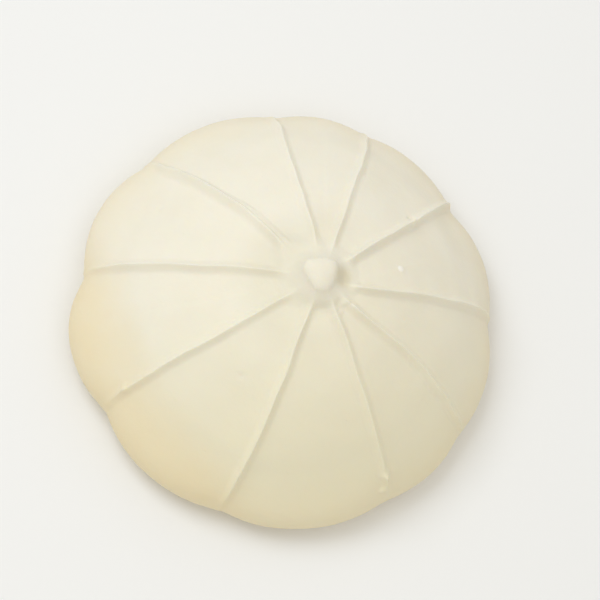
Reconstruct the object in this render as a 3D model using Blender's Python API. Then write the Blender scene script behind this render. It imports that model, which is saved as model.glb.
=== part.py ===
"""Meringue cookie: one piped dome of baked foam, standing on its flat underside.

Ten thin crests, left by the piping nozzle, run from the base rim up to a small nub.
Broad facets lie between them: almost flat on the dome, rounded into lobes at the rim.
Round the nub the foam has slumped, on one side to a small shelf.
The origin is the middle of the underside.  Sizes are in millimetres, the mesh in metres.
"""

import math

import bmesh
import bpy

MM = 0.001

# Side profile along a crest, as distance from the axis and height.
BASE_RADIUS = 22.4
WIDEST_RADIUS = 26.9
WIDEST_HEIGHT = 4.2
UNDERCUT_ANGLE = math.radians(66)
DOME_RISE = 25.2
DOME_TAPER = 1.7
DOME_SWELL = 1.11

# The nub where the nozzle was pulled away: a flattish cap with three soft corners, leaning
# towards the slumped side.
NUB_FOOT_RADIUS = 4.2
NUB_RADIUS = 2.25
NUB_HEIGHT = 2.25
NUB_WAIST_HEIGHT = 1.15
NUB_FLATNESS = 0.95
NUB_CORNERS = 0.11
NUB_CORNER_BEARING = math.radians(220)
NUB_LEAN = 0.6
NUB_LEAN_BEARING = math.radians(95)

# Where the dome ends and the nub begins.
FOOT_ANGLE = math.acos((NUB_FOOT_RADIUS / WIDEST_RADIUS) ** (1.0 / DOME_TAPER))
FOOT_HEIGHT = WIDEST_HEIGHT + DOME_RISE * math.sin(FOOT_ANGLE) ** DOME_SWELL

# Each crest: its bearing, its bow to the side and its hook near the nub, in degrees
# anticlockwise from +Y seen from above; its height as a share of CREST_HEIGHT; and the radius
# at which it begins.
CRESTS = (
    (16.5, 0.8, 0.0, 0.90, 4.4),
    (44.7, 1.3, 0.0, 0.85, 5.0),
    (83.0, -2.6, 8.0, 1.45, 7.0),
    (118.0, 1.8, 0.0, 1.10, 4.8),
    (157.0, 0.3, 0.0, 0.90, 4.4),
    (200.0, 0.6, 0.0, 1.00, 3.6),
    (247.0, -0.8, -3.0, 0.85, 3.4),
    (277.0, 0.8, -10.0, 0.85, 3.8),
    (311.0, -1.9, -14.0, 1.00, 4.2),
    (345.0, 0.0, 0.0, 1.10, 4.8),
)
HOOK_RANGE = 9.0
CREST_HEIGHT = 0.66
CREST_HALF_WIDTH = 1.05
CREST_FADE = 1.5
CREST_AT_RIM = 0.12
CREST_FULL_HEIGHT = 13.2
CREST_WANDER = math.radians(0.5)
CREST_WAVE = 3.4
CREST_WAVE_STEP = 0.35
CREST_PHASE_STEP = 2.1
CREST_STRAIGHT_BELOW = 6.0

# Small pointed toes where the crests meet the underside.
TOE_REACH = 0.9
TOE_HALF_WIDTH = 1.4
TOE_HEIGHT = 2.6

# How far each lobe, from one crest to the next, swells at the widest ring.
LOBE_SWELL = (0.5, 0.6, 1.1, 1.6, 0.9, 0.7, 0.5, 0.6, 0.7, 0.6)
LOBE_RANGE = 6.5
FACET_ROUNDNESS = 0.35

# The slump round the nub: a shelf at one bearing, and a share of its depth opposite, where
# the crests are pinched a little higher instead.
SHELF_BEARING = math.radians(105)
SHELF_DEPTH = 1.6
SHELF_SHARE_OPPOSITE = 0.35
SHELF_INNER_RADIUS = 2.0
SHELF_OUTER_RADIUS = (6.0, 9.2)
PINCH_DEPTH = 0.3
PINCH_RADIUS = 6.5
PINCH_RANGE = 3.0

# Mesh resolution.
UNDERCUT_ROWS = 6
DOME_ROWS = 24
FILLET_ROWS = 4
CAP_ROWS = 6
COLUMNS_PER_FLANK = 5
CREST_OFFSETS = (0.0, 0.35, 0.9)
SHARP_ANGLE = math.radians(50)

MERINGUE_COLOUR = (0.871, 0.823, 0.672, 1.0)
MERINGUE_ROUGHNESS = 0.72


def clear_scene():
    for thing in list(bpy.data.objects):
        bpy.data.objects.remove(thing, do_unlink=True)


def smoothstep(low, high, value):
    t = min(max((value - low) / (high - low), 0.0), 1.0)
    return t * t * (3.0 - 2.0 * t)


def bell(value, middle, width):
    return math.exp(-(((value - middle) / width) ** 2))


def undercut_points():
    """Arc of an ellipse from the base edge out and up to just under the widest ring."""
    half_height = WIDEST_HEIGHT / math.sin(UNDERCUT_ANGLE)
    half_width = (WIDEST_RADIUS - BASE_RADIUS) / (1.0 - math.cos(UNDERCUT_ANGLE))
    centre = WIDEST_RADIUS - half_width
    for row in range(UNDERCUT_ROWS):
        angle = -UNDERCUT_ANGLE * (1.0 - row / UNDERCUT_ROWS)
        yield centre + half_width * math.cos(angle), WIDEST_HEIGHT + half_height * math.sin(angle)


def dome_points():
    """The dome from the widest ring, at angle 0, up to the foot of the nub."""
    for row in range(DOME_ROWS):
        angle = FOOT_ANGLE * row / DOME_ROWS
        height = WIDEST_HEIGHT + DOME_RISE * math.sin(angle) ** DOME_SWELL
        yield WIDEST_RADIUS * math.cos(angle) ** DOME_TAPER, height


def foot_slope():
    """How steeply the dome rises towards the nub where it meets it."""
    rise = DOME_RISE * DOME_SWELL * math.sin(FOOT_ANGLE) ** (DOME_SWELL - 2.0)
    run = WIDEST_RADIUS * DOME_TAPER * math.cos(FOOT_ANGLE) ** (DOME_TAPER - 2.0)
    return rise / run


def nub_points():
    """A hollow fillet that leaves the dome at its own slope, then the cap."""
    spread = NUB_FOOT_RADIUS - NUB_RADIUS
    bend_height = foot_slope() * spread
    for row in range(FILLET_ROWS):
        t = row / FILLET_ROWS
        rise = 2.0 * t * (1.0 - t) * bend_height + t * t * NUB_WAIST_HEIGHT
        yield NUB_RADIUS + spread * (1.0 - t) ** 2, FOOT_HEIGHT + rise
    cap_height = NUB_HEIGHT - NUB_WAIST_HEIGHT
    for row in range(CAP_ROWS):
        turn = 0.5 * math.pi * row / CAP_ROWS
        rise = NUB_WAIST_HEIGHT + cap_height * math.sin(turn) ** NUB_FLATNESS
        yield NUB_RADIUS * math.cos(turn) ** NUB_FLATNESS, FOOT_HEIGHT + rise


def with_normals(points):
    """Adds to each profile point the outward direction there, as (radius, height) parts."""
    rows = []
    for index, (radius, height) in enumerate(points):
        before = points[max(index - 1, 0)]
        after = points[min(index + 1, len(points) - 1)]
        along = math.hypot(after[0] - before[0], after[1] - before[1])
        outward = ((after[1] - before[1]) / along, (before[0] - after[0]) / along)
        rows.append((radius, height, *outward))
    return rows


def crest_bearing(index, radius, height):
    """Each crest bows to one side, hooks near the nub and wanders a little on its way up."""
    bearing, bow, hook = CRESTS[index][:3]
    wave = math.sin(height / (CREST_WAVE + CREST_WAVE_STEP * index) + CREST_PHASE_STEP * index)
    wander = CREST_WANDER * wave * smoothstep(0.0, CREST_STRAIGHT_BELOW, height)
    bearing += bow * math.sin(math.pi * min(radius / WIDEST_RADIUS, 1.0))
    bearing += hook * bell(radius, 0.0, HOOK_RANGE)
    return math.radians(bearing) + wander


def crest_profile(distance, half_width=CREST_HALF_WIDTH):
    """Cross-section of a crest: 1 on its edge, with hollow flanks down to the facets."""
    return max(1.0 - distance / half_width, 0.0) ** 2


def slumped(bearing):
    """1 in the middle of the slumped side, 0 opposite."""
    return 0.5 + 0.5 * math.cos(bearing - SHELF_BEARING)


def crest_height(lobe, across, bearing, radius, height):
    """Height of the crests above the facets, blended across a lobe from one crest to the next."""
    share = smoothstep(-1.0, 1.0, across)
    first, second = CRESTS[lobe], CRESTS[(lobe + 1) % len(CRESTS)]
    level = first[3] + (second[3] - first[3]) * share
    start = first[4] + (second[4] - first[4]) * share
    above_rim = smoothstep(WIDEST_HEIGHT, CREST_FULL_HEIGHT, height)
    level *= CREST_AT_RIM + (1.0 - CREST_AT_RIM) * above_rim
    pinch = PINCH_DEPTH * (1.0 - slumped(bearing)) * bell(radius, PINCH_RADIUS, PINCH_RANGE)
    near_nub = smoothstep(start - CREST_FADE, start + CREST_FADE, radius)
    return (CREST_HEIGHT * level + pinch) * near_nub * smoothstep(NUB_RADIUS, NUB_FOOT_RADIUS, radius)


def facet_drop(lobe, across, half_angle, radius, height):
    """How far inside the crests' circle the facet lies, measured along the radius.

    across runs from -1 at one crest to 1 at the next.
    """
    chord = 1.0 - math.cos(half_angle) / math.cos(across * half_angle)
    rim = bell(height, WIDEST_HEIGHT, LOBE_RANGE)
    roundness = FACET_ROUNDNESS + (1.0 - FACET_ROUNDNESS) * rim
    swell = LOBE_SWELL[lobe] * rim * (1.0 - across * across)
    return radius * chord * (1.0 - roundness) - swell


def shelf_drop(bearing, radius, height):
    """How far the slump round the nub lies below the dome."""
    side = SHELF_SHARE_OPPOSITE + (1.0 - SHELF_SHARE_OPPOSITE) * slumped(bearing)
    nearest, farthest = SHELF_OUTER_RADIUS
    near = 1.0 - smoothstep(SHELF_INNER_RADIUS, nearest + (farthest - nearest) * side, radius)
    below_nub = 1.0 - smoothstep(FOOT_HEIGHT, FOOT_HEIGHT + NUB_WAIST_HEIGHT, height)
    return SHELF_DEPTH * side * near * below_nub


def nub_corners(bearing, radius, height):
    """How far the nub's three corners reach out, and the sides between them in."""
    raised = smoothstep(FOOT_HEIGHT, FOOT_HEIGHT + NUB_WAIST_HEIGHT, height)
    return NUB_CORNERS * radius * raised * math.cos(3.0 * (bearing - NUB_CORNER_BEARING))


def toe_reach(distance, height):
    return TOE_REACH * crest_profile(distance, TOE_HALF_WIDTH) * (1.0 - smoothstep(0.0, TOE_HEIGHT, height))


def ring_columns(radius, height):
    """Columns of one ring: (bearing, lobe, across, half angle of the lobe, distance to the crest)."""
    columns = []
    for lobe in range(len(CRESTS)):
        start = crest_bearing(lobe, radius, height)
        end = crest_bearing((lobe + 1) % len(CRESTS), radius, height)
        half = 0.5 * ((end - start) % math.tau)
        for step in range(2 * COLUMNS_PER_FLANK):
            nearer = min(step, 2 * COLUMNS_PER_FLANK - step)
            share = nearer / COLUMNS_PER_FLANK
            if nearer < len(CREST_OFFSETS):
                share = min(share, CREST_OFFSETS[nearer] / (radius * half))
            across = share - 1.0 if step < COLUMNS_PER_FLANK else 1.0 - share
            columns.append((start + half * (1.0 + across), lobe, across, half, share * half * radius))
    return columns


def surface_point(row, column, on_base):
    """One point of the skin, in millimetres."""
    radius, height, out, up = row
    bearing, lobe, across, half, distance = column
    ridge = crest_height(lobe, across, bearing, radius, height)
    inward = ridge * (1.0 - crest_profile(distance)) + facet_drop(lobe, across, half, radius, height) * out
    if on_base:
        out, up = 1.0, 0.0
    reach = radius - inward * out + toe_reach(distance, height) + nub_corners(bearing, radius, height)
    level = height - inward * up - shelf_drop(bearing, radius, height)
    return -reach * math.sin(bearing), reach * math.cos(bearing), level


def lean_nub(x, y, height):
    """Carries the nub sideways, the more the higher it is."""
    sideways = NUB_LEAN * max(height - FOOT_HEIGHT, 0.0) / NUB_HEIGHT
    x -= sideways * math.sin(NUB_LEAN_BEARING)
    y += sideways * math.cos(NUB_LEAN_BEARING)
    return x * MM, y * MM, height * MM


def join_rings(mesh, lower, upper):
    for index in range(len(lower)):
        following = (index + 1) % len(lower)
        mesh.faces.new((lower[index], lower[following], upper[following], upper[index]))


def meringue_mesh():
    rows = with_normals([*undercut_points(), *dome_points(), *nub_points()])
    mesh = bmesh.new()
    rings = []
    for index, row in enumerate(rows):
        points = [surface_point(row, column, index == 0) for column in ring_columns(row[0], row[1])]
        rings.append([mesh.verts.new(lean_nub(*point)) for point in points])
    for lower, upper in zip(rings, rings[1:]):
        join_rings(mesh, lower, upper)
    tip = mesh.verts.new(lean_nub(0.0, 0.0, FOOT_HEIGHT + NUB_HEIGHT))
    last = rings[-1]
    for index, corner in enumerate(last):
        mesh.faces.new((corner, last[(index + 1) % len(last)], tip))
    mesh.faces.new(reversed(rings[0]))
    return mesh


def meringue_material():
    material = bpy.data.materials.new("meringue")
    material.use_nodes = True
    shader = material.node_tree.nodes["Principled BSDF"]
    shader.inputs["Base Color"].default_value = MERINGUE_COLOUR
    shader.inputs["Roughness"].default_value = MERINGUE_ROUGHNESS
    shader.inputs["Metallic"].default_value = 0.0
    return material


def add_meringue():
    shape = meringue_mesh()
    data = bpy.data.meshes.new("meringue")
    shape.to_mesh(data)
    shape.free()
    data.shade_smooth()
    data.set_sharp_from_angle(angle=SHARP_ANGLE)
    data.materials.append(meringue_material())
    bpy.context.scene.collection.objects.link(bpy.data.objects.new("meringue", data))


clear_scene()
add_meringue()
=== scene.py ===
"""Looks of the meringue cookie: its ribbed dome, toasted underside, floor, light and camera.

The dome repeats the CAD solid's form at a finer grain and adds what baked foam has: uneven
crests, soft dents, small blobs and blowholes, and a crumbly rim.
"""

import math
from types import SimpleNamespace

import bpy
import numpy as np
from mathutils import Matrix, Vector, noise


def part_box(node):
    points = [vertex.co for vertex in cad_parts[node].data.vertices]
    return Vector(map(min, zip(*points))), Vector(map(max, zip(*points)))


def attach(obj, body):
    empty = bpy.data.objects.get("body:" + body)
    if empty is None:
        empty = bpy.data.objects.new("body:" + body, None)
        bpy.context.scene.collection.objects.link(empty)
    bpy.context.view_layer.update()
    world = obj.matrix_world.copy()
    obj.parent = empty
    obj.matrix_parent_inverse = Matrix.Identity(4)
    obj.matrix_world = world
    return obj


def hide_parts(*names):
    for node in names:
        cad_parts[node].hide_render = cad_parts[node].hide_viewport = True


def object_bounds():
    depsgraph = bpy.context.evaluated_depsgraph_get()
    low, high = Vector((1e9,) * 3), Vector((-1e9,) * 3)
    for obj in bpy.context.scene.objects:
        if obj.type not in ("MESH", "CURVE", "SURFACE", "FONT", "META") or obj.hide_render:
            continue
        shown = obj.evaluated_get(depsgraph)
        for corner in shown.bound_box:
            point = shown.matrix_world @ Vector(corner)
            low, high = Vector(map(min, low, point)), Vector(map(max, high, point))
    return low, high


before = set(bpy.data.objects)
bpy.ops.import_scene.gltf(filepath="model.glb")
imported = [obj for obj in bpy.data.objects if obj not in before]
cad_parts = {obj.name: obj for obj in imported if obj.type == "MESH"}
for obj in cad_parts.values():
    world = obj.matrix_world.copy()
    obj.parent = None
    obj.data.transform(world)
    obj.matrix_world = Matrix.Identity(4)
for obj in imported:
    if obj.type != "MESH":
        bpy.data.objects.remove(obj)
cad_low, cad_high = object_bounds()
node_low, node_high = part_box("meringue")

# Side profile along a crest, in millimetres: distance from the axis and height.
BASE_RADIUS = 22.4
WIDEST_RADIUS = 26.9
WIDEST_HEIGHT = 4.2
UNDERCUT_ANGLE = math.radians(66)
DOME_RISE = 25.2
DOME_TAPER = 1.7
DOME_SWELL = 1.11

# The nub left where the nozzle was pulled away: a flattish cap, three-cornered from above,
# leaning towards the slumped side.
NUB_FOOT_RADIUS = 4.2
NUB_RADIUS = 2.25
NUB_HEIGHT = 2.25
NUB_WAIST_HEIGHT = 1.15
NUB_FLATNESS = 0.95
NUB_CORNERS = 0.11
NUB_CORNER_BEARING = math.radians(220)
NUB_LEAN = 0.6
NUB_LEAN_BEARING = math.radians(95)

# Where the dome ends and the nub begins.
FOOT_ANGLE = math.acos((NUB_FOOT_RADIUS / WIDEST_RADIUS) ** (1.0 / DOME_TAPER))
FOOT_HEIGHT = WIDEST_HEIGHT + DOME_RISE * math.sin(FOOT_ANGLE) ** DOME_SWELL

# One millimetre of the cookie as modelled, measured on the frame.
MM = (node_high.z - node_low.z) / (FOOT_HEIGHT + NUB_HEIGHT)

# Each crest's bearing anticlockwise from +Y seen from above, its bow and its hook near the nub,
# all in degrees; how high it is; where it starts; how much lower the facet lies on its
# anticlockwise side than on the other; and how far the lobe on that side swells out.
CRESTS = np.array((
    (16.5, 0.8, 0.0, 0.90, 4.4, -0.10, 0.5),
    (44.7, 1.3, 0.0, 0.85, 5.0, -0.20, 0.6),
    (83.0, -2.6, 8.0, 1.45, 7.0, 0.15, 1.1),
    (118.0, 1.8, 0.0, 1.10, 4.8, 0.35, 1.6),
    (157.0, 0.3, 0.0, 0.90, 4.4, 0.20, 0.9),
    (200.0, 0.6, 0.0, 1.00, 3.6, 0.15, 0.7),
    (247.0, -0.8, -3.0, 0.85, 3.4, 0.05, 0.5),
    (277.0, 0.8, -10.0, 0.85, 3.8, -0.15, 0.6),
    (311.0, -1.9, -14.0, 1.00, 4.2, -0.30, 0.7),
    (345.0, 0.0, 0.0, 1.10, 4.8, -0.45, 0.6),
))
CREST_BEARINGS, CREST_BOW, CREST_HOOK = np.radians(CRESTS[:, :3].T)
CREST_LEVEL, CREST_START, CREST_STEP, LOBE_SWELL = CRESTS[:, 3:].T
HOOK_RANGE = 9.0

# Cross-section of the crests, and the toes where they meet the underside.
CREST_HEIGHT = 0.66
CREST_HALF_WIDTH = 0.95
CREST_EDGE_RADIUS = 0.10
CREST_AT_RIM = 0.12
CREST_FULL_HEIGHT = 13.2
TOE_REACH = 0.9
TOE_HEIGHT = 2.6
TOE_SLIMNESS = 0.7

# Along its length a crest swings in slow waves of its own, and quivers finely.
WANDER = math.radians(0.5)
WANDER_FULL_HEIGHT = 6.0
WANDER_WAVE = 3.4
WANDER_WAVE_STEP = 0.35
WANDER_PHASE_STEP = 2.1
QUIVER = 0.16
QUIVER_GRAIN = 2.3
QUIVER_LEAST_RADIUS = 4.0

# The trough beside the lower side of a crest.
CREST_STEP_WIDTH = 4.0
CREST_STEP_RADII = (4.0, 15.0)

# How much a crest's height changes along it.  Each crest has its own line through the noise.
WEAR = 0.2
WEAR_GRAIN = 2.6
WEAR_LINES_APART = 20.0

# The crest that is split along part of its length into two thin parallel ones.
SPLIT_CREST = 2
SPLIT_HEIGHT = 0.3
SPLIT_OFFSET = -0.75
SPLIT_HALF_WIDTH = 0.45
SPLIT_INNER_RADII = (5.0, 7.0)
SPLIT_OUTER_RADII = (12.0, 18.0)

# Lobes between the crests: flat facets above, rounded towards the rim.
RIM_RANGE = 6.5
FACET_ROUNDNESS = 0.35

# Round the nub the crests fade out.  One side is slumped to a shelf, the other is pinched.
CREST_FADE = 1.5
SHELF_BEARING = math.radians(105)
SHELF_DEPTH = 1.6
SHELF_SHARE_OPPOSITE = 0.35
SHELF_INNER_RADIUS = 2.0
SHELF_OUTER_RADII = (6.0, 9.2)
PINCH_DEPTH = 0.3
PINCH_RADIUS = 6.5
PINCH_RANGE = 3.0

# A crevice beside the nub, on the side away from its lean.
CREVICE_BEARING = math.radians(312)
CREVICE_RADIUS = 2.75
CREVICE_LENGTH = 3.4
CREVICE_DEPTH = 0.9
CREVICE_HALF_WIDTHS = (0.55, 1.7)

# Pits, and blobs where a drop of foam dried on the skin: bearing in degrees, distance from the
# axis, half width and height.
MARKS = (
    (323.0, 12.0, 0.42, 0.25),
    (346.0, 17.6, 0.55, -0.40),
    (344.3, 16.9, 0.45, 0.35),
    (262.0, 4.4, 0.35, 0.22),
    (252.0, 5.2, 0.32, 0.18),
    (272.0, 5.0, 0.30, -0.22),
    (97.0, 22.5, 0.40, -0.20),
    (181.0, 15.0, 0.40, -0.18),
    (247.4, 24.6, 0.60, 0.50),
    (246.0, 25.9, 0.45, 0.40),
    (156.4, 24.9, 0.50, 0.45),
)

# The first of these drops is coloured as a spot paler than the skin.  Its facet lies a little inside the
# profile, so from above it is nearer the axis than its mark.
PALE_DROP_BEARING = math.radians(323)
PALE_DROP_RADIUS = 11.5

# Layers of unevenness: height, size of its lumps and place in the noise.
SKIN_LAYERS = ((0.16, 9.5, 3.1), (0.03, 3.3, 17.7), (0.014, 0.8, 8.8))
RIM_LAYERS = ((0.2, 1.6, 60.1), (0.1, 0.7, 75.9))
UNDERSIDE_LAYERS = ((0.16, 4.5, 21.0), (0.12, 1.3, 33.0))
UNDERSIDE_HOLLOW = 0.2
UNDERSIDE_EDGE_SHARE = 0.12
CRUMBLY_HEIGHTS = (0.2, 2.2)

# Faint streaks along the way the foam ran.
STREAK_HEIGHT = 0.012
STREAK_GRAIN = 0.07
STREAK_STRETCH = 90.0
STREAK_PLACE = 40.3
STREAK_RADII = (3.0, 12.0)

# Mesh grain.  The columns double where a ring is wider than each of the two radii.
UNDERCUT_STEPS = 200
DOME_STEPS = 800
NUB_STEPS = 100
ROW_STEP = 0.26
UNDERSIDE_ROW_STEP = 1.6 * ROW_STEP
COLUMNS_NEAR_NUB = 12
DOUBLING_RADII = (5.5, 12.5)
CREST_CROWDING = 0.3

# Colours of the foam, from the palest to the most baked, and tints of painted shade that darken them.
PALE_DROP_COLOUR = (0.97, 0.94, 0.87, 1.0)
IVORY = (0.905, 0.870, 0.765, 1.0)
CREAM = (0.885, 0.842, 0.722, 1.0)
# Painted shade: the flank turned from the key light is yellower, as warm bounce light tints it.
SHADED_FLANK_COLOUR = (0.88, 0.826, 0.625, 1.0)
TOASTED_RIM = (0.86, 0.73, 0.47, 1.0)
UNDERSIDE_STREAK = (0.80, 0.66, 0.42, 1.0)
UNDERSIDE_PALE = (0.74, 0.57, 0.33, 1.0)
UNDERSIDE_DARK = (0.66, 0.48, 0.26, 1.0)
# Painted shade on the nub's cap, lighter than the ring round it.
NUB_SHADE_TINT = (0.96, 0.96, 0.97)
# Painted shade in the ring round the nub, slightly yellowed.
NUB_RING_SHADE_TINT = (0.90, 0.90, 0.87)
# Painted shade in the crevice beside the nub.
CREVICE_SHADE_TINT = (0.90, 0.88, 0.80)

# Between which two distances each colour fades in, in millimetres.
# The flank with the painted warm shade.
SHADED_FLANK_BEARING = math.radians(225)
SHADED_FLANK_FADE = (-8.0, 28.0)
# Where the painted shade on the nub fades in.
NUB_SHADE_FADE = (3.4, 2.4)
# Where the painted shade in the ring round the nub fades.
NUB_RING_SHADE_FADE = (11.5, 5.5)
SLUMPED_SIDE_FADE = (-8.0, 10.0)
# Where the crevice's painted shade fades.
CREVICE_SHADE_FADE = (1.9, 0.6)
PALE_DROP_FADE = (0.5, 0.3)

# The toasting: strongest at the base, and higher and stronger on one side.
TOAST_FADE = (16.0, 1.5)
TOAST_STRENGTH = 0.6
TOAST_RAGGEDNESS = 3.0
BASE_TOAST_FADE = (8.5, 1.5)
BASE_TOAST_EXTRA = 0.35
TOASTED_SIDE_BEARING = math.radians(160)
TOASTED_SIDE_FADE = (15.5, 22.5)
TOASTED_SIDE_EXTRA = 0.2
TOASTED_SIDE_CLIMB = 4.0

# The underside's colour starts where the skin turns downward, close to the floor.
DOWNWARD_FADE = (-0.5, -0.7)
UNDERSIDE_FADE = (1.0, 0.4)

# Light: area lights as bearing and elevation in degrees, side in metres, power in watts, colour.
COOL_WHITE = (0.92, 0.965, 1.0)
WARM_WHITE = (1.0, 0.965, 0.875)
LIGHT_DISTANCE = 0.6
LIGHTS = {
    "key": (98, 62, 0.3, 1.2, COOL_WHITE),
    "overhead": (215, 80, 0.5, 0.53, WARM_WHITE),
    "fill": (5, 50, 0.4, 0.09, (1.0, 0.97, 0.86)),
}
SURROUND_STRENGTH = 0.60
FLOOR_HALF_WIDTH = 1.5
FLOOR_COLOUR = (0.90, 0.91, 0.935, 1.0)

# The camera looks down from the -Y side, turned about its own axis.
CAMERA_LENS = 260.0
CAMERA_DISTANCE = 0.55
CAMERA_BEARING = math.pi
CAMERA_ELEVATION = math.radians(72.7)
CAMERA_ROLL = math.radians(40.2)


def smoothstep(low, high, value):
    t = np.clip((value - low) / (high - low), 0.0, 1.0)
    return t * t * (3.0 - 2.0 * t)


def bell(value, middle, width):
    return np.exp(-(((value - middle) / width) ** 2))


# ---------------------------------------------------------------- side profile


def undercut_curve():
    half_height = WIDEST_HEIGHT / math.sin(UNDERCUT_ANGLE)
    half_width = (WIDEST_RADIUS - BASE_RADIUS) / (1.0 - math.cos(UNDERCUT_ANGLE))
    angle = np.linspace(-UNDERCUT_ANGLE, 0.0, UNDERCUT_STEPS)
    radius = WIDEST_RADIUS - half_width + half_width * np.cos(angle)
    return radius, WIDEST_HEIGHT + half_height * np.sin(angle)


def dome_curve():
    angle = np.linspace(0.0, FOOT_ANGLE, DOME_STEPS)
    radius = WIDEST_RADIUS * np.cos(angle) ** DOME_TAPER
    return radius, WIDEST_HEIGHT + DOME_RISE * np.sin(angle) ** DOME_SWELL


def dome_height(radius):
    """Height of the dome's profile at one distance from the axis."""
    angle = math.acos((radius / WIDEST_RADIUS) ** (1.0 / DOME_TAPER))
    return WIDEST_HEIGHT + DOME_RISE * math.sin(angle) ** DOME_SWELL


def nub_curve():
    """A hollow fillet that leaves the dome at its own slope, then the cap."""
    radius, height = dome_curve()
    slope = (height[-1] - height[-2]) / (radius[-2] - radius[-1])
    bend_height = slope * (NUB_FOOT_RADIUS - NUB_RADIUS)
    waist = NUB_WAIST_HEIGHT
    t = np.linspace(0.0, 1.0, NUB_STEPS)
    fillet = NUB_RADIUS + (NUB_FOOT_RADIUS - NUB_RADIUS) * (1.0 - t) ** 2
    fillet_height = 2.0 * (1.0 - t) * t * bend_height + t**2 * waist
    turn = 0.5 * math.pi * t[1:]
    cap = NUB_RADIUS * np.maximum(np.cos(turn), 0.0) ** NUB_FLATNESS
    cap_height = waist + (NUB_HEIGHT - waist) * np.sin(turn) ** NUB_FLATNESS
    return np.concatenate([fillet, cap]), FOOT_HEIGHT + np.concatenate([fillet_height, cap_height])


def side_profile():
    """Evenly spaced rows from the base edge to the tip: radius, height, outward and upward parts."""
    pieces = undercut_curve(), dome_curve(), nub_curve()
    radius = np.concatenate([pieces[0][0], pieces[1][0][1:], pieces[2][0][1:]])
    height = np.concatenate([pieces[0][1], pieces[1][1][1:], pieces[2][1][1:]])
    run = np.concatenate([[0.0], np.cumsum(np.hypot(np.diff(radius), np.diff(height)))])
    rows = np.linspace(0.0, run[-1], int(run[-1] / ROW_STEP))[:-1]
    radius, height = np.interp(rows, run, radius), np.interp(rows, run, height)
    slope_r, slope_z = np.gradient(radius), np.gradient(height)
    length = np.hypot(slope_r, slope_z)
    return radius, height, slope_z / length, -slope_r / length


# ---------------------------------------------------------------- where each point of the skin is


def columns_per_lobe(radius):
    return COLUMNS_NEAR_NUB * 2 ** sum(radius > doubling for doubling in DOUBLING_RADII)


def crest_bearings(radius, height):
    """Bearings of the crests at one height: they bow, hook near the nub, wander and quiver."""
    index = np.arange(len(CREST_BEARINGS))
    wave = np.sin(height / (WANDER_WAVE + WANDER_WAVE_STEP * index) + WANDER_PHASE_STEP * index)
    wander = WANDER * wave * smoothstep(0.0, WANDER_FULL_HEIGHT, height)
    wander += CREST_BOW * math.sin(math.pi * min(radius / WIDEST_RADIUS, 1.0))
    wander += CREST_HOOK * bell(radius, 0.0, HOOK_RANGE)
    quiver = np.array([noise.noise(Vector((height / QUIVER_GRAIN, 5.0 * i, 0.5))) for i in index])
    return CREST_BEARINGS + wander + QUIVER * quiver / max(radius, QUIVER_LEAST_RADIUS)


def ring_columns(radius, height):
    """Columns of one ring, crowded towards the crests: bearing, lobe, across (-1 at the lobe's
    first crest, 1 at its second), half angle of the lobe, nearer crest and signed distance
    from it, which is positive on the crest's anticlockwise side."""
    count = columns_per_lobe(radius)
    step = np.arange(count)
    nearer = np.minimum(step, count - step) / (count // 2)
    share = CREST_CROWDING * nearer + (1.0 - CREST_CROWDING) * nearer**2
    first_half = step < count // 2
    across = np.where(first_half, share - 1.0, 1.0 - share)
    start = crest_bearings(radius, height)[:, None]
    half = 0.5 * ((np.roll(start, -1) - start) % math.tau)
    lobe = np.arange(len(start))[:, None]
    crest = np.where(first_half, lobe, (lobe + 1) % len(start))
    distance = np.where(first_half, 1.0, -1.0) * share * half * radius
    columns = start + half * (1.0 + across), lobe, across, half, crest, distance
    return [np.broadcast_to(values, distance.shape).reshape(-1) for values in columns]


def skin_grid():
    """All points of the rings as flat arrays, from the base edge up, with the size of each ring."""
    profile = side_profile()
    rings = [ring_columns(radius, height) for radius, height in zip(*profile[:2])]
    grid = SimpleNamespace(sizes=[len(ring[0]) for ring in rings])
    for name, values in zip(("radius", "height", "out", "up"), profile):
        setattr(grid, name, np.repeat(values, grid.sizes))
    for name, values in zip(("bearing", "lobe", "across", "half", "crest", "distance"), zip(*rings)):
        setattr(grid, name, np.concatenate(values))
    return grid


def noise_field(points, grain, offset):
    """Smooth random field of about -1 to 1, with lumps about `grain` across."""
    shift = Vector((offset, offset, offset))
    return np.array([noise.noise(Vector(point) / grain + shift) for point in points])


def layered_noise(points, layers):
    """Sum of noise fields, each with its own height, size of lumps and place in the noise."""
    return sum(height * noise_field(points, grain, offset) for height, grain, offset in layers)


# ---------------------------------------------------------------- the form shared with the solid


def crest_profile(distance, half_width=CREST_HALF_WIDTH):
    """Cross-section of a crest: 1 on its rounded edge, with hollow flanks down to the facets."""
    rounded = np.hypot(distance, CREST_EDGE_RADIUS) - CREST_EDGE_RADIUS
    return np.maximum(1.0 - rounded / half_width, 0.0) ** 2


def slumped(grid):
    """1 in the middle of the slumped side, 0 opposite."""
    return 0.5 + 0.5 * np.cos(grid.bearing - SHELF_BEARING)


def shelf_drop(grid):
    """How far the shelf beside the nub lies below the dome."""
    side = SHELF_SHARE_OPPOSITE + (1.0 - SHELF_SHARE_OPPOSITE) * slumped(grid)
    least_radius, greatest_radius = SHELF_OUTER_RADII
    outer_radius = least_radius + (greatest_radius - least_radius) * side
    waist_height = FOOT_HEIGHT + NUB_WAIST_HEIGHT
    below_nub = 1.0 - smoothstep(FOOT_HEIGHT, waist_height, grid.height)
    near = 1.0 - smoothstep(SHELF_INNER_RADIUS, outer_radius, grid.radius)
    return SHELF_DEPTH * side * near * below_nub


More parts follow.
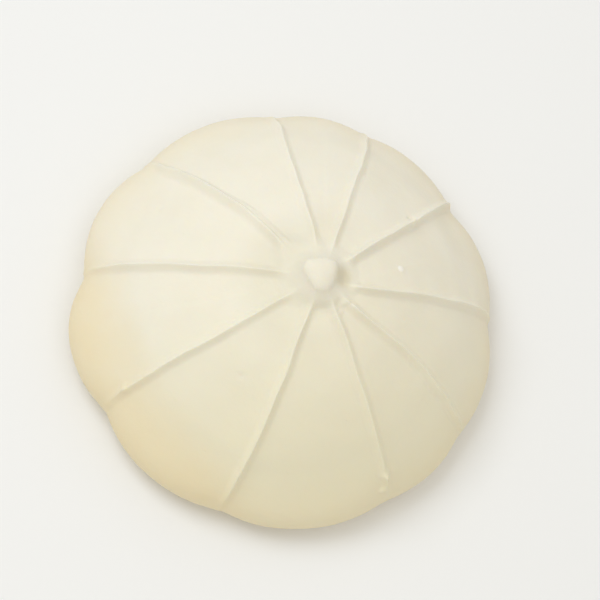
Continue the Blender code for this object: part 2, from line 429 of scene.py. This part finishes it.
def crevice_drop(grid):
    """Steep on the side of the nub, gentle on the other."""
    turn = (grid.bearing - CREVICE_BEARING + math.pi) % math.tau - math.pi
    along = bell(turn * CREVICE_RADIUS, 0.0, 0.5 * CREVICE_LENGTH)
    half_width = np.where(grid.radius < CREVICE_RADIUS, *CREVICE_HALF_WIDTHS)
    return CREVICE_DEPTH * along * bell(grid.radius, CREVICE_RADIUS, half_width)


def blend_crests(values, grid):
    """One value for each crest, blended across the lobes between them."""
    share = smoothstep(-1.0, 1.0, grid.across)
    first, second = values[grid.lobe], values[(grid.lobe + 1) % len(CREST_BEARINGS)]
    return first + (second - first) * share


def crest_height(grid):
    start = blend_crests(CREST_START, grid)
    near_nub = smoothstep(start - CREST_FADE, start + CREST_FADE, grid.radius)
    off_nub = smoothstep(NUB_RADIUS, NUB_FOOT_RADIUS, grid.radius)
    pinched = 1.0 - slumped(grid)
    pinch = PINCH_DEPTH * pinched * bell(grid.radius, PINCH_RADIUS, PINCH_RANGE)
    above_rim = smoothstep(WIDEST_HEIGHT, CREST_FULL_HEIGHT, grid.height)
    level = CREST_AT_RIM + (1.0 - CREST_AT_RIM) * above_rim
    return (CREST_HEIGHT * blend_crests(CREST_LEVEL, grid) * level + pinch) * near_nub * off_nub


def facet_drop(grid):
    chord = 1.0 - np.cos(grid.half) / np.cos(grid.across * grid.half)
    rim = bell(grid.height, WIDEST_HEIGHT, RIM_RANGE)
    roundness = FACET_ROUNDNESS + (1.0 - FACET_ROUNDNESS) * rim
    swell = LOBE_SWELL[grid.lobe] * rim * (1.0 - grid.across**2)
    return grid.radius * chord * (1.0 - roundness) - swell


def toe_reach(grid):
    low = 1.0 - smoothstep(0.0, TOE_HEIGHT, grid.height)
    return TOE_REACH * crest_profile(TOE_SLIMNESS * grid.distance) * low


def nub_corners(grid):
    """How far the nub's three corners reach out, and the sides between them in."""
    raised = smoothstep(FOOT_HEIGHT, FOOT_HEIGHT + NUB_WAIST_HEIGHT, grid.height)
    return NUB_CORNERS * grid.radius * raised * np.cos(3.0 * (grid.bearing - NUB_CORNER_BEARING))


def lean_nub(points):
    sideways = NUB_LEAN * np.maximum(points[:, 2] - FOOT_HEIGHT, 0.0) / NUB_HEIGHT
    points[:, 0] -= sideways * math.sin(NUB_LEAN_BEARING)
    points[:, 1] += sideways * math.cos(NUB_LEAN_BEARING)
    return points


# ---------------------------------------------------------------- what the oven and the nozzle left


def crest_steps(grid):
    """Beside its lower side a crest has a shallow trough, deeper towards the rim."""
    lower_side = np.maximum(np.sign(grid.distance) * CREST_STEP[grid.crest], 0.0)
    outward = smoothstep(*CREST_STEP_RADII, grid.radius)
    trough = (1.0 - crest_profile(grid.distance)) * bell(grid.distance, 0.0, CREST_STEP_WIDTH)
    return lower_side * outward * trough


def crest_wear(grid):
    """Crests are a little higher here and lower there along their length."""
    levels = np.unique(grid.height)
    row = np.searchsorted(levels, grid.height)
    lines = np.column_stack([0 * levels, levels, 0 * levels])
    shifts = [WEAR_LINES_APART * i for i in range(len(CREST_BEARINGS))]
    wear = np.array([noise_field(lines + [shift, 0, 0], WEAR_GRAIN, 0.4) for shift in shifts])
    share = smoothstep(-1.0, 1.0, grid.across)
    first, second = wear[grid.lobe, row], wear[(grid.lobe + 1) % len(CREST_BEARINGS), row]
    return 1.0 + WEAR * (first + (second - first) * share)


def second_crest(grid):
    """The thin crest that runs beside the split one."""
    on_crest = grid.crest == SPLIT_CREST
    starts = smoothstep(*SPLIT_INNER_RADII, grid.radius)
    ends = smoothstep(*SPLIT_OUTER_RADII, grid.radius)
    edge = crest_profile(grid.distance - SPLIT_OFFSET, SPLIT_HALF_WIDTH)
    return SPLIT_HEIGHT * on_crest * starts * (1.0 - ends) * edge


def uneven(grid, points):
    """Soft swells, faint streaks along the way the foam ran, and a chalky grain."""
    around = [np.cos(grid.bearing), np.sin(grid.bearing), points[:, 2] / STREAK_STRETCH]
    streaks = noise_field(np.column_stack(around), STREAK_GRAIN, STREAK_PLACE)
    streaks *= STREAK_HEIGHT * smoothstep(*STREAK_RADII, grid.radius)
    return streaks + layered_noise(points, SKIN_LAYERS)


def mark_rise(grid):
    """How far the blobs stand out and the pits go in."""
    rise = np.zeros(len(grid.bearing))
    for bearing, radius, half_width, height in MARKS:
        turn = (grid.bearing - math.radians(bearing) + math.pi) % math.tau - math.pi
        along = np.hypot(grid.radius - radius, grid.height - dome_height(radius))
        rise += height * bell(np.hypot(turn * radius, along), 0.0, half_width)
    return rise


def crumbly_rim(grid, points):
    low = 1.0 - smoothstep(*CRUMBLY_HEIGHTS, grid.height)
    return low * layered_noise(points, RIM_LAYERS)


def ring_points(grid):
    """Points of the dome and nub, in millimetres."""
    ridge = crest_height(grid) * crest_wear(grid)
    inward = ridge * (1.0 - crest_profile(grid.distance)) + crest_steps(grid) - second_crest(grid)
    inward += facet_drop(grid) * grid.out
    on_base = grid.height <= 0.0
    out = np.where(on_base, 1.0, grid.out)
    up = np.where(on_base, 0.0, grid.up)
    reach = grid.radius - inward * out + toe_reach(grid) + nub_corners(grid)
    level = grid.height - inward * up - shelf_drop(grid) - crevice_drop(grid)
    sine, cosine = np.sin(grid.bearing), np.cos(grid.bearing)
    points = np.column_stack([-reach * sine, reach * cosine, level])
    shift = uneven(grid, points) + crumbly_rim(grid, points) + mark_rise(grid)
    points += np.column_stack([-shift * out * sine, shift * out * cosine, shift * up])
    points[:, 2] = np.maximum(points[:, 2], 0.0)
    return lean_nub(points)


# ---------------------------------------------------------------- the whole skin


def stitch(lower, upper):
    """Faces between two rings of vertex numbers.  One may have twice as many as the other."""
    faces = []
    if len(lower) == len(upper):
        for i in range(len(lower)):
            j = (i + 1) % len(lower)
            faces.append((lower[i], lower[j], upper[j], upper[i]))
    elif len(lower) == 2 * len(upper):
        for i in range(len(upper)):
            j = (i + 1) % len(upper)
            a, b, c = lower[2 * i], lower[2 * i + 1], lower[(2 * i + 2) % len(lower)]
            faces += [(a, b, upper[i]), (b, upper[j], upper[i]), (b, c, upper[j])]
    else:
        faces = [tuple(reversed(face)) for face in stitch(upper, lower)]
    return faces


def underside_rings(edge):
    """Rings from the base edge in to the middle of the underside, which is very slightly hollow."""
    rings = []
    for share in np.linspace(1.0, 0.0, int(BASE_RADIUS / UNDERSIDE_ROW_STEP))[1:-1]:
        step = len(edge) // (len(CREST_BEARINGS) * columns_per_lobe(share * BASE_RADIUS))
        ring = edge[::step] * [share, share, 0.0]
        off_edge = smoothstep(0.0, UNDERSIDE_EDGE_SHARE, 1.0 - share)
        hollow = UNDERSIDE_HOLLOW + layered_noise(ring, UNDERSIDE_LAYERS)
        ring[:, 2] = off_edge * np.maximum(hollow, 0.0)
        rings.append(ring)
    return rings


def skin_shape():
    """Vertices in millimetres and faces of the closed skin."""
    grid = skin_grid()
    rings = np.split(ring_points(grid), np.cumsum(grid.sizes)[:-1])
    tip = lean_nub(np.array([[0.0, 0.0, FOOT_HEIGHT + NUB_HEIGHT]]))
    rings = underside_rings(rings[0])[::-1] + rings
    middle = rings[0].mean(axis=0)[None, :]
    starts = np.cumsum([0] + [len(ring) for ring in rings])
    numbers = [list(range(a, b)) for a, b in zip(starts, starts[1:])]
    faces = []
    for lower, upper in zip(numbers, numbers[1:]):
        faces += stitch(lower, upper)
    for ring, point, turn in ((numbers[-1], starts[-1], 1), (numbers[0], starts[-1] + 1, -1)):
        for i, number in enumerate(ring):
            faces.append((number, ring[(i + turn) % len(ring)], point))
    return np.concatenate([*rings, tip, middle]), faces


def mesh_object(name, vertices, faces):
    data = bpy.data.meshes.new(name)
    data.from_pydata((vertices * MM).tolist(), [], faces)
    data.shade_smooth()
    thing = bpy.data.objects.new(name, data)
    bpy.context.scene.collection.objects.link(thing)
    return thing


# ---------------------------------------------------------------- materials


class NodeBuilder:
    """Short-hand for building one material's node tree.  Places and sizes are in millimetres."""

    def __init__(self, name):
        self.material = bpy.data.materials.new(name)
        self.material.use_nodes = True
        self.tree = self.material.node_tree
        self.shader = self.tree.nodes["Principled BSDF"]
        metres = self.node("ShaderNodeTexCoord").outputs["Object"]
        self.place = self.vector_math("MULTIPLY", metres, (1.0 / MM, 1.0 / MM, 1.0 / MM))
        self.level_place = self.vector_math("MULTIPLY", self.place, (1.0, 1.0, 0.0))
        self.height = self.node("ShaderNodeSeparateXYZ", Vector=self.place).outputs["Z"]

    def set(self, socket, value):
        if isinstance(value, bpy.types.NodeSocket):
            self.tree.links.new(value, socket)
        else:
            socket.default_value = value

    def node(self, kind, settings=None, **inputs):
        made = self.tree.nodes.new(kind)
        for key, value in (settings or {}).items():
            setattr(made, key, value)
        for key, value in inputs.items():
            self.set(made.inputs[key.replace("_", " ")], value)
        return made

    def noise(self, grain, detail=3.0, vector=None):
        """Noise of 0 to 1 with lumps about `grain` across."""
        vector = vector or self.place
        node = self.node("ShaderNodeTexNoise", Vector=vector, Scale=1.0 / grain, Detail=detail)
        return node.outputs["Fac"]

    def spread(self, value, low, high):
        """The low end where the value is 0, and the high end where it is 1."""
        node = self.node("ShaderNodeMapRange", Value=value, To_Min=low, To_Max=high)
        return node.outputs["Result"]

    def ramp(self, value, start, end):
        """0 where the value is at `start` and 1 where it is at `end`."""
        settings = {"interpolation_type": "SMOOTHSTEP"}
        node = self.node("ShaderNodeMapRange", settings, Value=value, From_Min=start, From_Max=end)
        return node.outputs["Result"]

    def math(self, operation, first, second):
        node = self.node("ShaderNodeMath", {"operation": operation})
        self.set(node.inputs[0], first)
        self.set(node.inputs[1], second)
        return node.outputs[0]

    def vector_math(self, operation, first, second=(0.0, 0.0, 0.0), output="Vector"):
        node = self.node("ShaderNodeVectorMath", {"operation": operation})
        self.set(node.inputs[0], first)
        self.set(node.inputs[1], second)
        return node.outputs[output]

    def mix(self, factor, first, second):
        node = self.node("ShaderNodeMix", {"data_type": "RGBA"}, Factor=factor)
        self.set(node.inputs["A"], first)
        self.set(node.inputs["B"], second)
        return node.outputs["Result"]

    def tinted(self, factor, colour, tint):
        """The colour, multiplied by the tint where the factor is 1."""
        return self.mix(factor, colour, self.vector_math("MULTIPLY", colour, tint))

    def towards(self, bearing):
        """How far a place lies from the axis in the direction of this bearing."""
        return self.vector_math("DOT_PRODUCT", self.place, tuple(direction(bearing, 0.0)), "Value")

    def from_spot(self, bearing, radius):
        """Distance, seen from above, from the spot at this bearing and distance from the axis."""
        spot = tuple(radius * direction(bearing, 0.0))
        return self.vector_math("DISTANCE", self.level_place, spot, "Value")


def baked_foam(b):
    """Dry and matt, with a little light seeping through."""
    b.shader.inputs["Subsurface Weight"].default_value = 0.3
    b.shader.inputs["Subsurface Radius"].default_value = (1.0, 0.8, 0.5)
    b.shader.inputs["Subsurface Scale"].default_value = 1.2 * MM
    b.set(b.shader.inputs["Roughness"], b.spread(b.noise(3.0), 0.62, 0.8))


def cream_colour(b):
    """Creamy white in faint clouds, with painted shade: yellower on the flank turned from the key light,
    as warm bounce light tints it.
    """
    clouds = b.math("ADD", b.math("MULTIPLY", b.noise(6.0), 0.5), b.math("MULTIPLY", b.noise(20.0), 0.5))
    cream = b.mix(b.ramp(clouds, 0.35, 0.65), IVORY, CREAM)
    return b.mix(b.ramp(b.towards(SHADED_FLANK_BEARING), *SHADED_FLANK_FADE), cream, SHADED_FLANK_COLOUR)


def top_colour(b):
    """Painted shade round the nub on the slumped side, lighter painted shade on the nub, painted shade
    in the crevice; a pale spot on the drop.
    """
    skin = cream_colour(b)
    radius = b.vector_math("LENGTH", b.level_place, output="Value")
    slumped_side = b.ramp(b.towards(SHELF_BEARING), *SLUMPED_SIDE_FADE)
    # Painted shade: the ring round the nub on the slumped side is darker.
    ring = b.math("MULTIPLY", b.ramp(radius, *NUB_RING_SHADE_FADE), slumped_side)
    colour = b.tinted(ring, skin, NUB_RING_SHADE_TINT)
    # Painted shade on the nub, lighter than the ring round it.
    shaded_nub = b.vector_math("MULTIPLY", skin, NUB_SHADE_TINT)
    colour = b.mix(b.ramp(radius, *NUB_SHADE_FADE), colour, shaded_nub)
    # Painted shade: the crevice beside the nub is darker.
    shade_in_fold = b.ramp(b.from_spot(CREVICE_BEARING, CREVICE_RADIUS), *CREVICE_SHADE_FADE)
    colour = b.tinted(shade_in_fold, colour, CREVICE_SHADE_TINT)
    in_drop = b.ramp(b.from_spot(PALE_DROP_BEARING, PALE_DROP_RADIUS), *PALE_DROP_FADE)
    return b.mix(in_drop, colour, PALE_DROP_COLOUR)


def toasting(b):
    """How toasted the skin is: a ragged band round the rim, down to the base."""
    on_side = b.ramp(b.towards(TOASTED_SIDE_BEARING), *TOASTED_SIDE_FADE)
    ragged = b.math("ADD", b.height, b.math("MULTIPLY", b.noise(4.0), TOAST_RAGGEDNESS))
    climbing = b.math("SUBTRACT", ragged, b.math("MULTIPLY", on_side, TOASTED_SIDE_CLIMB))
    side_extra = b.math("MULTIPLY", on_side, TOASTED_SIDE_EXTRA)
    base_extra = b.math("MULTIPLY", b.ramp(ragged, *BASE_TOAST_FADE), BASE_TOAST_EXTRA)
    strength = b.math("ADD", TOAST_STRENGTH, b.math("MAXIMUM", side_extra, base_extra))
    return b.math("MULTIPLY", b.ramp(climbing, *TOAST_FADE), strength)


def pores(b, cell, share):
    """1 in small round blowholes, each in a cell of the given size; only a share of cells have one."""
    cells = b.node("ShaderNodeTexVoronoi", Vector=b.place, Scale=1.0 / cell)
    chosen = b.node("ShaderNodeSeparateColor", Color=cells.outputs["Color"])
    there = b.math("LESS_THAN", chosen.outputs["Red"], share)
    return b.math("MULTIPLY", b.ramp(cells.outputs["Distance"], 0.13, 0.04), there)


def underside_colour(b):
    """Tan in soft blotches, with fine pale streaks and specks."""
    tan = b.mix(b.ramp(b.noise(11.0), 0.3, 0.7), UNDERSIDE_PALE, UNDERSIDE_DARK)
    stretched = b.vector_math("MULTIPLY", b.place, (1.0, 0.1, 1.0))
    streaks = b.math("MULTIPLY", b.ramp(b.noise(0.4, 2.0, stretched), 0.45, 0.75), 0.35)
    specks = b.math("MULTIPLY", pores(b, 1.3, 0.35), 0.7)
    return b.mix(b.math("MAXIMUM", streaks, specks), tan, UNDERSIDE_STREAK)


def add_grain(b):
    """A chalky grain with a few fine pores, too small for the mesh."""
    grain = b.math("ADD", b.noise(0.5), b.math("MULTIPLY", b.noise(0.18, 2.0), 0.4))
    relief = b.math("SUBTRACT", grain, b.math("MULTIPLY", pores(b, 1.4, 0.12), 1.5))
    bump = b.node("ShaderNodeBump", Height=relief, Distance=0.06 * MM, Strength=0.4)
    b.set(b.shader.inputs["Normal"], bump.outputs["Normal"])


def meringue_material():
    b = NodeBuilder("meringue_skin")
    normal = b.node("ShaderNodeSeparateXYZ", Vector=b.node("ShaderNodeNewGeometry").outputs["Normal"])
    downward = b.ramp(normal.outputs["Z"], *DOWNWARD_FADE)
    under = b.math("MULTIPLY", downward, b.ramp(b.height, *UNDERSIDE_FADE))
    upper_colour = b.mix(toasting(b), top_colour(b), TOASTED_RIM)
    b.set(b.shader.inputs["Base Color"], b.mix(under, upper_colour, underside_colour(b)))
    baked_foam(b)
    add_grain(b)
    return b.material


# ---------------------------------------------------------------- floor, light and camera


def direction(bearing, elevation):
    """Unit vector towards a bearing, anticlockwise from +Y, and an elevation."""
    level = math.cos(elevation)
    return Vector((-level * math.sin(bearing), level * math.cos(bearing), math.sin(elevation)))


def add_floor():
    data = bpy.data.meshes.new("floor")
    half = FLOOR_HALF_WIDTH
    corners = [(-half, -half, 0), (half, -half, 0), (half, half, 0), (-half, half, 0)]
    data.from_pydata(corners, [], [(0, 1, 2, 3)])
    floor = bpy.data.objects.new("floor", data)
    bpy.context.scene.collection.objects.link(floor)
    floor.location.z = cad_low.z
    material = bpy.data.materials.new("floor")
    material.use_nodes = True
    shader = material.node_tree.nodes["Principled BSDF"]
    shader.inputs["Base Color"].default_value = FLOOR_COLOUR
    shader.inputs["Roughness"].default_value = 0.8
    data.materials.append(material)


def add_area_light(name, bearing, elevation, size, power, colour):
    data = bpy.data.lights.new(name, "AREA")
    data.size = size
    data.energy = power
    data.color = colour
    lamp = bpy.data.objects.new(name, data)
    bpy.context.scene.collection.objects.link(lamp)
    towards = direction(math.radians(bearing), math.radians(elevation))
    lamp.location = middle + towards * LIGHT_DISTANCE
    lamp.rotation_euler = towards.to_track_quat("Z", "Y").to_euler()


def add_surround():
    world = bpy.data.worlds.new("studio")
    bpy.context.scene.world = world
    world.use_nodes = True
    background = world.node_tree.nodes["Background"]
    background.inputs["Color"].default_value = (*WARM_WHITE, 1.0)
    background.inputs["Strength"].default_value = SURROUND_STRENGTH


def add_camera():
    data = bpy.data.cameras.new("camera")
    data.lens = CAMERA_LENS
    camera = bpy.data.objects.new("camera", data)
    bpy.context.scene.collection.objects.link(camera)
    back = direction(CAMERA_BEARING, CAMERA_ELEVATION)
    turn = (-back).to_track_quat("-Z", "Y").to_matrix().to_4x4()
    roll = Matrix.Rotation(CAMERA_ROLL, 4, "Z")
    camera.matrix_world = Matrix.Translation(middle + back * CAMERA_DISTANCE) @ turn @ roll
    bpy.context.scene.camera = camera


# ---------------------------------------------------------------- assembly

middle = 0.5 * (cad_low + cad_high)

skin = mesh_object("meringue_skin", *skin_shape())
skin.data.materials.append(meringue_material())
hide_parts("meringue")
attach(skin, "root")

add_floor()
for name, settings in LIGHTS.items():
    add_area_light(name, *settings)
add_surround()
add_camera()
bpy.context.scene.view_settings.view_transform = "Standard"
